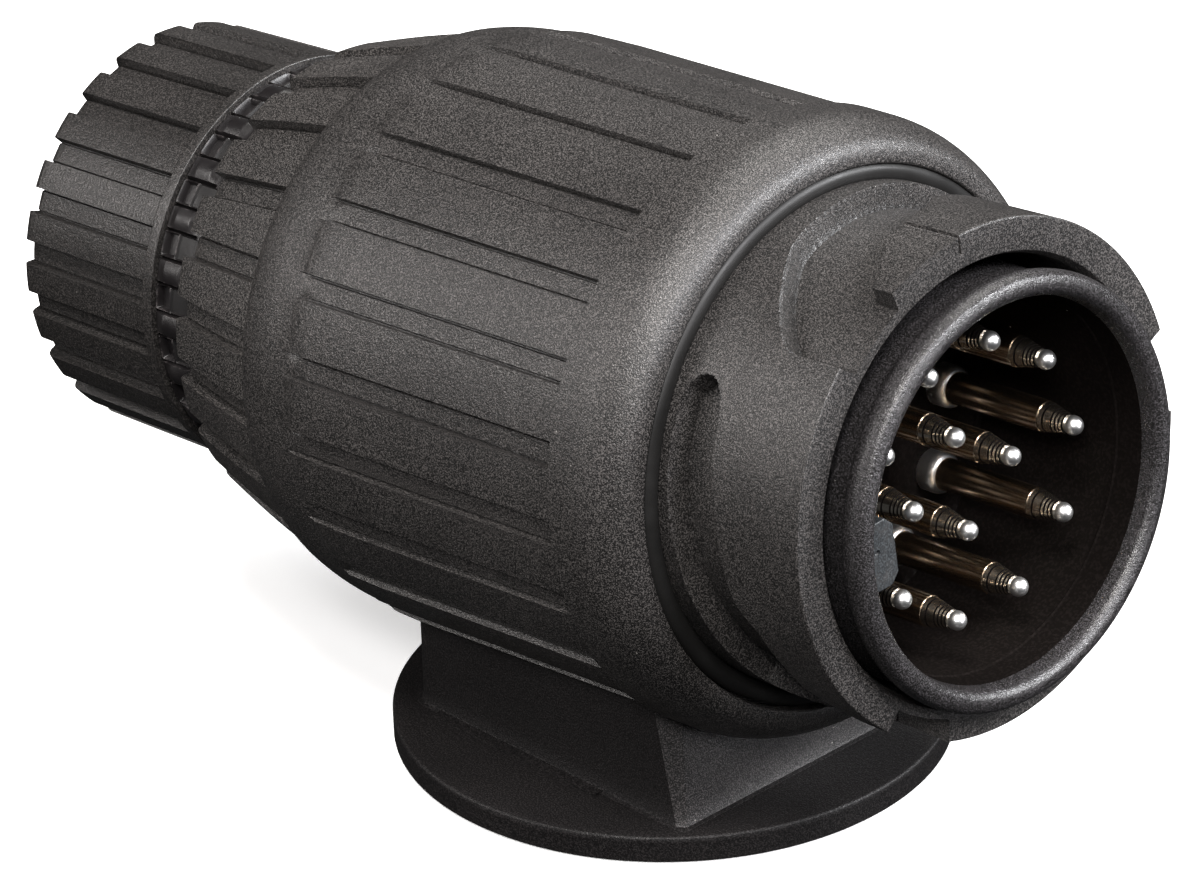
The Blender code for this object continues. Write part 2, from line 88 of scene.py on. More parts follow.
# ---------------------------------------------------------------- camera, floor and lights


def towards(azimuth, elevation):
    """The direction from the object to a viewer or a light."""
    a, e = radians(azimuth), radians(elevation)
    return Vector((sin(a) * cos(e), -cos(a) * cos(e), sin(e)))


def aim(obj, target, roll=0.0):
    """Turns a camera or a light at its place so that it faces the target."""
    look = (target - obj.location).to_track_quat("-Z", "Y").to_matrix().to_4x4()
    obj.matrix_world = Matrix.Translation(obj.location) @ look @ Matrix.Rotation(radians(roll), 4, "Z")


def make_camera():
    data = bpy.data.cameras.new("camera")
    data.lens = CAMERA_LENS
    data.sensor_width = 36.0
    data.clip_end = 20.0
    camera = bpy.data.objects.new("camera", data)
    bpy.context.scene.collection.objects.link(camera)
    camera.location = CAMERA_TARGET + towards(CAMERA_AZIMUTH, CAMERA_ELEVATION) * CAMERA_DISTANCE
    aim(camera, CAMERA_TARGET, CAMERA_ROLL)
    bpy.context.scene.camera = camera


def softbox(name, azimuth, elevation, distance, size, power, colour):
    data = bpy.data.lights.new(name, "AREA")
    data.size = size
    data.energy = power
    data.color = colour
    light = bpy.data.objects.new(name, data)
    bpy.context.scene.collection.objects.link(light)
    light.location = CAMERA_TARGET + towards(azimuth, elevation) * distance
    aim(light, CAMERA_TARGET)


def make_studio():
    bpy.context.scene.view_settings.view_transform = "Standard"
    floor_mesh = bpy.data.meshes.new("floor")
    sides = ((-1, -1), (1, -1), (1, 1), (-1, 1))
    corners = [(x * FLOOR_HALF, y * FLOOR_HALF, 0.0) for x, y in sides]
    floor_mesh.from_pydata(corners, [], [(0, 1, 2, 3)])
    floor = bpy.data.objects.new("floor", floor_mesh)
    bpy.context.scene.collection.objects.link(floor)
    look = bpy.data.materials.new("floor_white")
    look.use_nodes = True
    shader = look.node_tree.nodes["Principled BSDF"]
    shader.inputs["Base Color"].default_value = FLOOR_SHADE
    shader.inputs["Roughness"].default_value = 0.9
    shader.inputs["Emission Color"].default_value = (1.0, 1.0, 1.0, 1.0)
    shader.inputs["Emission Strength"].default_value = FLOOR_GLOW
    floor_mesh.materials.append(look)
    floor.visible_diffuse = False
    floor.visible_glossy = False

    world = bpy.data.worlds.new("studio")
    world.use_nodes = True
    sky = world.node_tree.nodes["Background"]
    sky.inputs["Color"].default_value = (0.9, 0.95, 1.0, 1.0)
    sky.inputs["Strength"].default_value = WORLD_STRENGTH
    bpy.context.scene.world = world
    for light in LIGHTS:
        softbox(*light)


# ---------------------------------------------------------------- materials


# colour of rubbed edges, which also serves as painted highlight on convex edges
WORN_EDGE_AND_HIGHLIGHT = (0.13, 0.12, 0.115, 1.0)
DUST = (0.4, 0.38, 0.35, 1.0)
DUST_SPACING = 4.4
CHIPPED = (0.16, 0.14, 0.14, 1.0)
RUBBER = (0.007, 0.0068, 0.0066, 1.0)
FLOW_MARK = (0.013, 0.0126, 0.0122, 1.0)


class Graph:
    """Builds a material's nodes: each call adds one node and returns it."""

    def __init__(self, name):
        self.material = bpy.data.materials.new(name)
        self.material.use_nodes = True
        self.tree = self.material.node_tree
        self.shader = self.tree.nodes["Principled BSDF"]

    def add(self, kind, settings=None, **inputs):
        node = self.tree.nodes.new(kind)
        for key, value in (settings or {}).items():
            setattr(node, key, value)
        for key, value in inputs.items():
            self.feed(node.inputs[key.replace("_", " ")], value)
        return node

    def feed(self, socket, value):
        if isinstance(value, bpy.types.NodeSocket):
            self.tree.links.new(value, socket)
        else:
            socket.default_value = value

    def math(self, operation, first, second=0.5, third=None):
        node = self.tree.nodes.new("ShaderNodeMath")
        node.operation = operation
        self.feed(node.inputs[0], first)
        self.feed(node.inputs[1], second)
        if third is not None:
            self.feed(node.inputs[2], third)
        return node.outputs[0]

    def span(self, value, low, high, to_low=0.0, to_high=1.0):
        """The value moved from one range to another, and kept within it."""
        ends = {"Value": value, "From_Min": low, "From_Max": high, "To_Min": to_low, "To_Max": to_high}
        return self.add("ShaderNodeMapRange", **ends).outputs["Result"]

    def mix(self, share, first, second):
        node = self.tree.nodes.new("ShaderNodeMix")
        node.data_type = "RGBA"
        self.feed(node.inputs["Factor"], share)
        self.feed(node.inputs["A"], first)
        self.feed(node.inputs["B"], second)
        return node.outputs["Result"]

    def noise(self, place, feature_mm, detail=2.0, roughness=0.5):
        scale = 1.0 / (feature_mm * MM)
        values = {"Vector": place, "Scale": scale, "Detail": detail, "Roughness": roughness}
        return self.add("ShaderNodeTexNoise", **values).outputs["Fac"]

    def turned(self, place, feature_mm, detail=2.0):
        """Noise that only changes along the plug's axis, as lathe rings do."""
        along = self.add("ShaderNodeSeparateXYZ", Vector=place).outputs["X"]
        scale = 1.0 / (feature_mm * MM)
        settings = {"noise_dimensions": "1D"}
        node = self.add("ShaderNodeTexNoise", settings, W=along, Scale=scale, Detail=detail)
        return node.outputs["Fac"]

    def bump(self, height, depth_mm, strength=1.0):
        node = self.add("ShaderNodeBump", Height=height, Strength=strength, Distance=depth_mm * MM)
        self.feed(self.shader.inputs["Normal"], node.outputs["Normal"])


def moulded_plastic(name, colour, fleck_colour, roughness, grain_mm, depth_mm, wear_and_painted_light=0.15, rings=0.0):
    """Black moulded plastic: a spark-eroded grain, pale flecks, creases darkened as painted shade, rubbed
    edges that are paler partly as painted highlight, some dust.

    wear_and_painted_light is how strongly edges are rubbed and lightened, and at zero the creases get no
    painted shade; rings is how deep turning marks are against the grain.
    """
    g = Graph(name)
    place = g.add("ShaderNodeTexCoord").outputs["Object"]
    grain = g.noise(place, grain_mm, 1.0, 0.6)
    coarse = g.noise(place, grain_mm * 3.0, 2.0)
    blotch = g.noise(place, 14.0, 3.0)
    flecks = g.span(grain, 0.48, 0.63)
    shade = g.mix(flecks, (*colour, 1.0), (*fleck_colour, 1.0))
    tone_and_shade = g.span(blotch, 0.3, 0.7, 0.82, 1.15)
    bend = g.add("ShaderNodeNewGeometry").outputs["Pointiness"]
    # painted shade: the colour is darkened in creases and corners, where the surface bends inwards
    if wear_and_painted_light:
        tone_and_shade = g.math("MULTIPLY", tone_and_shade, g.span(bend, 0.42, 0.49, 0.3, 1.0))
    toned_and_shaded = g.add("ShaderNodeHueSaturation", Color=shade, Value=tone_and_shade).outputs["Color"]

    # convex edges are lightened in rubbed patches: partly wear, partly painted highlight
    edge = g.span(bend, 0.54, 0.62)
    rub = g.span(g.noise(place, 1.1, 4.0, 0.7), 0.48, 0.68)
    worn_and_highlit = g.mix(g.math("MULTIPLY", edge, g.math("MULTIPLY", rub, wear_and_painted_light)), toned_and_shaded, WORN_EDGE_AND_HIGHLIGHT)
    cells = g.add("ShaderNodeTexVoronoi", Vector=place, Scale=1.0 / (DUST_SPACING * MM))
    dust = g.span(cells.outputs["Distance"], 0.012, 0.022, 1.0, 0.0)
    g.feed(g.shader.inputs["Base Color"], g.mix(g.math("MULTIPLY", dust, 0.7), worn_and_highlit, DUST))

    rough = g.span(coarse, 0.3, 0.7, roughness - 0.05, roughness + 0.07)
    g.feed(g.shader.inputs["Roughness"], g.math("SUBTRACT", rough, g.math("MULTIPLY", flecks, 0.14)))
    height = g.math("MULTIPLY_ADD", coarse, 0.9, grain)
    if rings:
        height = g.math("MULTIPLY_ADD", g.turned(place, 0.35, 3.0), rings, height)
    g.bump(height, depth_mm)
    return g.material


def seal_rubber():
    """Smooth moulded rubber with a dull sheen and faint flow marks."""
    g = Graph("seal_rubber")
    place = g.add("ShaderNodeTexCoord").outputs["Object"]
    flow = g.noise(place, 3.0, 4.0)
    g.feed(g.shader.inputs["Base Color"], g.mix(flow, RUBBER, FLOW_MARK))
    g.feed(g.shader.inputs["Roughness"], g.span(flow, 0.3, 0.7, 0.38, 0.5))
    g.shader.inputs["Specular IOR Level"].default_value = 0.3
    g.bump(g.math("ADD", g.noise(place, 0.25), flow), 0.008, 0.5)
    return g.material


def gloss_plastic(name, colour, roughness):
    """Satin black plastic whose corners are chipped to a pale grey."""
    g = Graph(name)
    place = g.add("ShaderNodeTexCoord").outputs["Object"]
    chips = g.span(g.noise(place, 0.8, 4.0, 0.7), 0.5, 0.62)
    edge = g.span(g.add("ShaderNodeNewGeometry").outputs["Pointiness"], 0.52, 0.6)
    shade = g.mix(g.math("MULTIPLY", edge, chips), (*colour, 1.0), CHIPPED)
    g.feed(g.shader.inputs["Base Color"], shade)
    patches = g.noise(place, 1.6, 3.0)
    g.feed(g.shader.inputs["Roughness"], g.span(patches, 0.3, 0.7, roughness, roughness + 0.2))
    g.bump(g.noise(place, 0.7, 3.0), 0.05, 0.6)
    return g.material


def plated_metal(name, colour, dark_colour, roughness, turned_mm, depth_mm):
    """Plated or turned metal: fine lathe rings along the axis and faint tarnish."""
    g = Graph(name)
    place = g.add("ShaderNodeTexCoord").outputs["Object"]
    tarnish = g.span(g.noise(place, 2.6, 3.0), 0.25, 0.8)
    g.feed(g.shader.inputs["Base Color"], g.mix(tarnish, (*colour, 1.0), (*dark_colour, 1.0)))
    g.shader.inputs["Metallic"].default_value = 1.0
    g.feed(g.shader.inputs["Roughness"], g.span(tarnish, 0.0, 1.0, roughness, roughness + 0.05))
    g.bump(g.turned(place, turned_mm), depth_mm, 0.6)
    return g.material


# ---------------------------------------------------------------- shape tools


def outline(corners, cuts=(), above=0.0, steps=5):
    """Points of a profile from (station, radius, rounding) corners.

    A corner's rounding is how far from it the curve starts. Where the profile lies above a radius, a
    point is added at each station in cuts.
    """
    points = []
    count = len(corners)
    for i, (station, radius, rounding) in enumerate(corners):
        here = np.array((station, radius))
        if not rounding:
            points.append(here)
            continue
        before = np.array(corners[i - 1][:2]) - here
        after = np.array(corners[(i + 1) % count][:2]) - here
        start = here + before / np.linalg.norm(before) * rounding
        end = here + after / np.linalg.norm(after) * rounding
        for t in np.linspace(0.0, 1.0, steps + 1):
            points.append((1 - t) ** 2 * start + 2 * t * (1 - t) * here + t * t * end)
    rows = []
    for here, there in zip(points, points[1:] + points[:1]):
        rows.append(here)
        run = there[0] - here[0]
        if min(here[1], there[1]) < above or abs(run) < 0.02:
            continue
        shares = sorted((cut - here[0]) / run for cut in cuts)
        rows += [here + (there - here) * share for share in shares if 0.01 < share < 0.99]
    return np.array(rows)


def even(count):
    return np.arange(count) * 360.0 / count


def lines(phase, offsets, pitch=PITCH):
    """Angles at the same offsets round each of a ring of features."""
    angles = phase + np.arange(0.0, 360.0, pitch)[:, None] + np.array(offsets)[None, :]
    return np.unique(np.round(angles.ravel() % 360.0, 4))


def wall(distance, thickness):
    """0 outside, 1 inside and a straight wall between, from a signed distance to the edge."""
    return np.clip(distance / thickness, 0.0, 1.0)


def off_centre(angles, phase, pitch=PITCH):
    """Each angle's distance from the nearest feature of a ring, in degrees."""
    return (angles - phase + pitch / 2) % pitch - pitch / 2


def finish_mesh(name, points, faces, look):
    """An object with outward normals, smooth apart from its sharp edges."""
    mesh = bpy.data.meshes.new(name)
    mesh.from_pydata(points, [], faces)
    work = bmesh.new()
    work.from_mesh(mesh)
    bmesh.ops.remove_doubles(work, verts=work.verts, dist=1e-7)
    bmesh.ops.recalc_face_normals(work, faces=work.faces)
    work.to_mesh(mesh)
    work.free()
    mesh.shade_smooth()
    mesh.set_sharp_from_angle(angle=radians(SHARP_ANGLE))
    mesh.materials.append(look)
    obj = bpy.data.objects.new(name, mesh)
    bpy.context.scene.collection.objects.link(obj)
    return obj


def skin(name, rows, angles, look, relief=None, closed=True, at=(0.0, 0.0)):
    """A surface of revolution from profile rows, which a relief function may change.

    relief(stations, angles, radii) returns the three changed. A profile that isn't closed starts and
    ends on its axis. at is the place of that axis across the plug: (side, up).
    """
    stations = np.repeat(rows[:, :1], len(angles), axis=1)
    radii = np.repeat(rows[:, 1:], len(angles), axis=1)
    turn = angles[None, :]
    if relief:
        stations, turn, radii = relief(stations, turn, radii)
    turn = np.radians(turn)
    points = np.stack([stations, -radii * np.sin(turn), radii * np.cos(turn)], axis=-1) * MM
    across = len(angles)
    down = len(rows)
    faces = []
    for i in range(down if closed else down - 1):
        row, below = i * across, (i + 1) % down * across
        for j in range(across):
            beside = (j + 1) % across
            faces.append((row + j, row + beside, below + beside, below + j))
    obj = finish_mesh(name, points.reshape(-1, 3).tolist(), faces, look)
    obj.matrix_world = PLUG_FRAME @ Matrix.Translation(Vector((0.0, *at)) * MM)
    return obj


def join(first, *others):
    """One object out of several that share its frame."""
    with bpy.context.temp_override(active_object=first, selected_editable_objects=[first, *others]):
        bpy.ops.object.join()
    return first


def declare(obj, body, slot, *nodes):
    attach(obj, body)
    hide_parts(*nodes)


# ---------------------------------------------------------------- grip: barrel, collar, seal and foot

COLLAR_FRONT = -3.2
COLLAR_RADIUS, COLLAR_ROOT = 23.1, 22.5
COLLAR_LIFT = 0.45  # the sleeve sits a little high on the insert, by the clearance between them
COLLAR_MOUTH, COLLAR_BORE = 20.05, 19.6
COLLAR_REAR = -23.9
SEAL_STATION, SEAL_RADIUS, SEAL_THICKNESS = -20.9, 23.3, 1.84
BARREL_FRONT, BARREL_REAR = -20.1, -69.6
BARREL_BORE = 24.7

PAD_FRONT, PAD_REAR = -28.3, -62.2
STRIP_PHASE, STRIP_HALF = 31.4, 2.35
BAND_RADIUS, PAD_RADIUS, STRIP_RADIUS = 28.0, 27.65, 27.2  # the strips run out into the rear band
CREASE_DEPTH = 0.22
FOOT_SECTOR = 36.0  # half the angle under the barrel that the foot covers

SLOT_STARTS = (44.5, 161.5, 284.5)  # far side of each entry slot
SLOT_ANGLE = 20.0
CHANNEL_FLOOR_FRONT, CHANNEL_FLOOR_REAR = 21.0, 20.3
# Along a channel, from the slot's far side: angle, edge on the lug's side, edge on the barrel's side,
# as measured on the photograph through the fitted camera
TRACK = np.array(
    (
        (0.0, 0.0, -9.0),
        (1.7, 0.0, -10.3),
        (5.0, 0.0, -11.7),
        (11.0, 0.0, -13.5),
        (18.5, 0.0, -15.3),
        (20.0, -5.6, -15.6),
        (24.6, -6.3, -16.6),
        (30.0, -8.1, -17.1),
        (34.0, -9.1, -17.3),
        (41.0, -9.45, -17.6),
        (51.0, -10.6, -18.1),
        (57.0, -12.2, -18.4),
        (63.0, -12.7, -18.6),
        (78.0, -13.3, -19.1),
        (89.0, -14.1, -19.3),
        (99.0, -14.4, -19.3),
        (103.5, -14.9, -18.9),
        (106.5, -15.8, -17.9),
        (107.5, -16.8, -16.8),
    )
)
CHANNEL_WALL, CHANNEL_START_WALL = 0.3, 0.45  # how far the walls lean, in millimetres
LUG_STEP = (3.0, 24.5)  # the top lug is a little lower between these angles
LUG_STEP_DEPTH, LUG_STEP_REAR = 0.28, -10.2
CRACK_DEPTH = 0.4  # a fine joint line crosses the lug at its step
COLLAR_FACE_INSIDE = 21.4  # the joint line stops at this radius on the front face


def pad_relief(stations, angles, radii):
    """Lowers the front band to the pads and the strips between them, with a crease along each edge."""
    across = abs(off_centre(angles, STRIP_PHASE))
    across = np.where(abs((angles % 360.0) - 180.0) < FOOT_SECTOR, PITCH / 2, across)
    creased = wall(PAD_FRONT - stations, 0.1) * wall(stations - PAD_REAR, 1.5)
    crease = STRIP_RADIUS - CREASE_DEPTH * creased
    share = np.interp(across - STRIP_HALF, (-0.6, -0.35, -0.1, 0.1), (0.0, 1.0, 1.0, 0.0))
    level = np.where(across > STRIP_HALF, PAD_RADIUS, STRIP_RADIUS + (crease - STRIP_RADIUS) * share)
    limit = BAND_RADIUS + (level - BAND_RADIUS) * wall(PAD_FRONT - stations, 0.1)
    return stations, angles, np.minimum(radii, limit)


def channel_depth(stations, angles, start, scale):
    """How deep one bayonet channel is, from 0 to 1. scale is millimetres to a degree."""
    sweep = (start - angles) % 360.0
    lug_edge = np.interp(sweep, TRACK[:, 0], TRACK[:, 1])
    barrel_edge = np.interp(sweep, TRACK[:, 0], TRACK[:, 2])
    rear = wall(stations - barrel_edge, CHANNEL_WALL)
    rear = np.minimum(rear, wall(sweep * scale, CHANNEL_START_WALL))
    slot = np.minimum(rear, wall((SLOT_ANGLE - sweep) * scale, 0.2))
    track = np.minimum(rear, wall(lug_edge - stations, CHANNEL_WALL))
    end = wall((TRACK[-1, 0] - sweep) * scale, CHANNEL_WALL)
    return np.maximum(slot, np.minimum(track, end))


def collar_relief(stations, angles, radii):
    """Tapers the collar, sinks its three bayonet channels and marks the top lug's step."""
    scale = radians(COLLAR_RADIUS)
    outside = np.interp(stations, (SEAL_STATION, COLLAR_FRONT), (COLLAR_ROOT, COLLAR_RADIUS))
    depth = np.maximum.reduce([channel_depth(stations, angles, start, scale) for start in SLOT_STARTS])
    depth = depth * (2.0 - depth) * 0.5 + depth * 0.5
    low, high = LUG_STEP
    along_lug = wall(stations - LUG_STEP_REAR, 0.3)
    step = np.minimum(wall((angles % 360.0) - low, 0.5), wall(high + 1.0 - angles, 0.5)) * along_lug
    floor = np.interp(stations, (BARREL_FRONT, COLLAR_FRONT), (CHANNEL_FLOOR_REAR, CHANNEL_FLOOR_FRONT))
    crack = wall(0.3 - abs(angles - low), 0.15) * along_lug
    top = outside - LUG_STEP_DEPTH * step - CRACK_DEPTH * crack
    on_face = (stations > COLLAR_FRONT - 0.01) * (radii > COLLAR_FACE_INSIDE)
    limit = top - depth * (top - floor)
    return stations - CRACK_DEPTH * crack * on_face, angles, np.minimum(radii, limit)


def make_sleeve(look):
    """The barrel and the bayonet collar in front of it."""
    cuts = [*(PAD_FRONT + np.array((0.2, 0.02, -0.12, -0.3))), *np.arange(-60.0, -29.0, 3.0)]
    barrel = outline(
        (
            (-21.9, 22.3, 0.0),
            (-21.9, 24.3, 0.25),
            (BARREL_FRONT, 24.3, 0.3),
            (BARREL_FRONT, 25.9, 1.3),
            (-23.2, BAND_RADIUS, 2.2),
            (PAD_REAR + 6.0, BAND_RADIUS, 0.0),
            (PAD_REAR + 5.0, PAD_RADIUS, 0.0),
            (PAD_REAR + 0.6, PAD_RADIUS - 0.14, 0.0),
            (PAD_REAR + 0.1, STRIP_RADIUS + 0.13, 0.0),
            (PAD_REAR - 0.6, STRIP_RADIUS, 0.0),
            (-66.3, 26.95, 1.5),
            (-68.8, 26.35, 0.6),
            (BARREL_REAR, 25.95, 0.0),
            (BARREL_REAR, BARREL_BORE, 0.2),
            (-25.0, BARREL_BORE, 0.0),
            (-25.0, 22.3, 0.0),
        ),
        cuts,
        above=26.0,
        steps=8,
    )
    near = [STRIP_HALF + step for step in (-0.6, -0.35, -0.1, 0.1, 0.3, 1.8, 3.4)]
    offsets = [side * distance for side in (-1, 1) for distance in near]
    sleeve = skin("grip_barrel", barrel, lines(STRIP_PHASE, [0.0, 7.5, *offsets]), look, pad_relief)

    collar = outline(
        (
            (COLLAR_REAR, 22.3, 0.0),
            (SEAL_STATION - 1.0, 22.3, 0.0),
            (SEAL_STATION, COLLAR_ROOT, 0.4),
            (COLLAR_FRONT, COLLAR_RADIUS, 0.22),
            (COLLAR_FRONT, 21.5, 0.0),
            (COLLAR_FRONT, 21.3, 0.0),
            (COLLAR_FRONT, COLLAR_MOUTH, 0.12),
            (COLLAR_FRONT - 1.0, COLLAR_BORE, 0.3),
            (COLLAR_REAR, COLLAR_BORE, 0.0),
        ),
        np.arange(-20.4, -3.5, 0.11),
        above=22.0,
        steps=4,
    )
    crack_lines = lines(LUG_STEP[0], (-0.3, -0.15, 0.15, 0.3), 360.0)
    step_lines = lines(LUG_STEP[1], (-0.25, 0.25), 360.0)
    angles = np.unique(np.concatenate([even(720), step_lines, crack_lines]))
    return sleeve, skin("grip_collar", collar, angles, look, collar_relief, at=(0.0, COLLAR_LIFT))


def make_seal(look):
    turns = np.linspace(0.0, 2 * pi, 24, endpoint=False)
    stations = SEAL_STATION - SEAL_THICKNESS / 2 * np.sin(turns)
    rows = np.stack([stations, SEAL_RADIUS + SEAL_THICKNESS / 2 * np.cos(turns)], axis=-1)
    return skin("front_seal_ring", rows, even(200), look, at=(0.0, COLLAR_LIFT / 2))


FOOT_RADIUS, FOOT_THICKNESS = 25.35, 2.7
# The disc's profile, as shares of its radius and heights in millimetres
DISC_ROWS = (
    (0.97, 0.0),
    (0.985, 0.0),
    (1.0, 0.3),
    (1.0, 0.6),
    (1.0, 2.1),
    (1.0, 2.5),
    (0.996, 2.64),
    (0.99, FOOT_THICKNESS),
    (0.95, FOOT_THICKNESS),
)
PILLAR_HALF = (17.3, 16.5)
PILLAR_OFFSET, PILLAR_FILLET_TOP, PILLAR_TOP = 0.4, 3.2, 18.2
PILLAR_TOP_RADIUS = 26.9  # the pillar ends inside the barrel's wall
REAR_CORNER = 2.6
CHAMFER_FOOT, CHAMFER_TOP = 0.6, 1.5  # the front corners' chamfer widens upwards
PLINTH_HALF, PLINTH_MIDDLE, PLINTH_HEIGHT = (10.4, 17.6), -2.6, 0.2


def arc(centre, radius, start, steps=8):
    turns = np.radians(np.linspace(start, start + 90, steps + 1))
    return [(centre[0] + radius * cos(t), centre[1] + radius * sin(t)) for t in turns]


def pillar_plan(height, swell=0.0):
    """The pillar's outline at a height: its front face stands square to the plug's axis."""
    share = (height - FOOT_THICKNESS) / 12.0
    chamfer = CHAMFER_FOOT + (CHAMFER_TOP - CHAMFER_FOOT) * share
    front = PILLAR_HALF[0] + swell - (height - FOOT_THICKNESS) * FORWARD.z / FORWARD.x
    side, rear = PILLAR_HALF[1] + swell, -PILLAR_HALF[0] - swell
    soft = 0.12
    corner = [
        (front, side - chamfer - soft),
        (front - soft * 0.7, side - chamfer + soft * 0.4),
        (front - chamfer - soft * 0.4, side - soft * 0.7),
        (front - chamfer - soft * 1.4, side),
    ]
    points = corner + arc((rear + REAR_CORNER, side - REAR_CORNER), REAR_CORNER, 90)
    points += arc((rear + REAR_CORNER, REAR_CORNER - side), REAR_CORNER, 180)
    points += [(x, -y) for x, y in reversed(corner)]
    return np.array(points) + np.array((PILLAR_OFFSET, 0.0))


def barrel_underside(x, y, radius):
    """Height of the barrel's underside over a point of the foot, at a radius inside its wall."""
    slope = FORWARD.z / FORWARD.x
    axis_height = RIM_CENTRE.z / MM + (x - RIM_CENTRE.x / MM) * slope
    return axis_height - np.sqrt(np.maximum(radius**2 - y**2, 0.0)) / FORWARD.x


def tower(name, rings, look):
    """A closed stack of plan outlines, each ring an array of (x, y, z) points in millimetres."""
    count = len(rings[0])
    points = [tuple(p) for ring in rings for p in ring * MM]
    faces = []
    for i in range(len(rings) - 1):
        for j in range(count):
            k = (j + 1) % count
            faces.append((i * count + j, i * count + k, (i + 1) * count + k, (i + 1) * count + j))
    bottom, top = len(points), len(points) + 1
    points += [tuple(rings[0].mean(axis=0) * MM), tuple(rings[-1].mean(axis=0) * MM)]
    last = (len(rings) - 1) * count
    for j in range(count):
        k = (j + 1) % count
        faces += [(k, j, bottom), (last + j, last + k, top)]
    return finish_mesh(name, points, faces, look)


def at_height(plan, height):
    return np.column_stack([plan, np.full(len(plan), height)])


def make_foot(look, painted_light_look):
    """The disc, the pillar up to the barrel and the low plinth at the pillar's sides."""
    turn = np.radians(even(256))
    circle = FOOT_RADIUS * np.column_stack([np.cos(turn), np.sin(turn)])
    rings = [at_height(circle * share, height) for share, height in DISC_ROWS]
    disc = tower("grip_foot_disc", rings, look)

    rings = []
    for height, swell in ((2.5, 0.4), (2.72, 0.4), (2.85, 0.1), (PILLAR_FILLET_TOP, 0.0)):
        rings.append(at_height(pillar_plan(height, swell), height))
    for share in np.linspace(0.12, 1.0, 10):
        plan = pillar_plan(PILLAR_FILLET_TOP + (PILLAR_TOP - PILLAR_FILLET_TOP) * share)
        top = barrel_underside(plan[:, 0], plan[:, 1], PILLAR_TOP_RADIUS)
        rings.append(np.column_stack([plan, PILLAR_FILLET_TOP * (1 - share) + top * share]))
    pillar = tower("grip_foot_pillar", rings, look)
    pillar.data.materials.append(painted_light_look)
    # faces turned to the front get a lighter copy of the foot's plastic: painted light on the pillar's front
    for face in pillar.data.polygons:
        face.material_index = int(face.normal.x > 0.5)

    plan = np.array(((1.0, 1.0), (-1.0, 1.0), (-1.0, -1.0), (1.0, -1.0))) * PLINTH_HALF
    rings = []
    for share, height in ((1.0, -0.2), (1.0, PLINTH_HEIGHT), (0.9, PLINTH_HEIGHT)):
        rings.append(at_height(plan * share + (PLINTH_MIDDLE, 0.0), FOOT_THICKNESS + height))
    plinth = tower("grip_foot_plinth", rings, look)
    return join(disc, pillar, plinth)


# ---------------------------------------------------------------- insert: tube, pins, rear housing

MOUTH_RADIUS, TUBE_RADIUS, RIM_RADIUS = 17.1, 18.6, 19.5
KEY_ANGLE, KEY_FRONT, KEY_REAR = 92.5, -2.0, -20.3
KEY_TIP, KEY_WIDTH = 12.75, 6.3
CARRIER_FACE = -20.5
PIN_RING, PIN_COUNT, PIN_PITCH = 12.3, 9, 36.6  # the ring is centred opposite the key
INNER_PINS = ((4.84, 2.07), (0.62, -4.43), (-4.13, 1.44), (0.1, 7.72))  # (up, towards the key)
OUTER_TERMINAL_REAR, INNER_TERMINAL_REAR = -45.0, -52.5
PIN_TIP, PIN_BALL, PIN_BODY, PIN_COLLAR = -3.85, 0.87, 1.45, 1.95
BALL_REAR, PIN_COLLAR_FRONT, PIN_COLLAR_REAR = -5.2, -18.5, -20.8
CONE_FRONT, CONE_REAR = -5.28, -7.75  # the tapered end of a contact, behind its ball
CONE_GROOVES = (-5.28, -5.64, -6.0, -6.36, -7.2)
MARK_RADIUS, MARK_DISTANCE = 0.3, 14.9  # the ejector mark on the key, and how far it is from the axis

RIB_PHASE, RIB_HALF, RIB_GAP = 9.25, 4.7, 2.3
RIB_FRONT, RIB_REAR = -69.85, -83.3
RIB_DEPTH = 0.95  # of the gaps on the rear housing and on the nut
WINDOW_PHASE, WINDOW_HALF = 4.2, 3.3
WINDOW_FRONT, WINDOW_REAR = -87.3, -89.0
BLOCK_REAR, SLIT_FRONT = -87.2, -85.0
LUMP_FRONT, LUMP_REAR = -85.2, -88.9
NUT_PHASE, NUT_HALF = 11.7, 4.1
NUT_FRONT, NUT_REAR = -89.3, -108.0
FLANGE_REAR = NUT_FRONT - 1.3


def from_bmesh(name, work, look):
    """An object in the plug's frame from a bmesh."""
    mesh = bpy.data.meshes.new(name)
    work.to_mesh(mesh)
    work.free()
    mesh.materials.append(look)
    obj = bpy.data.objects.new(name, mesh)
    bpy.context.scene.collection.objects.link(obj)
    obj.matrix_world = PLUG_FRAME
    return obj


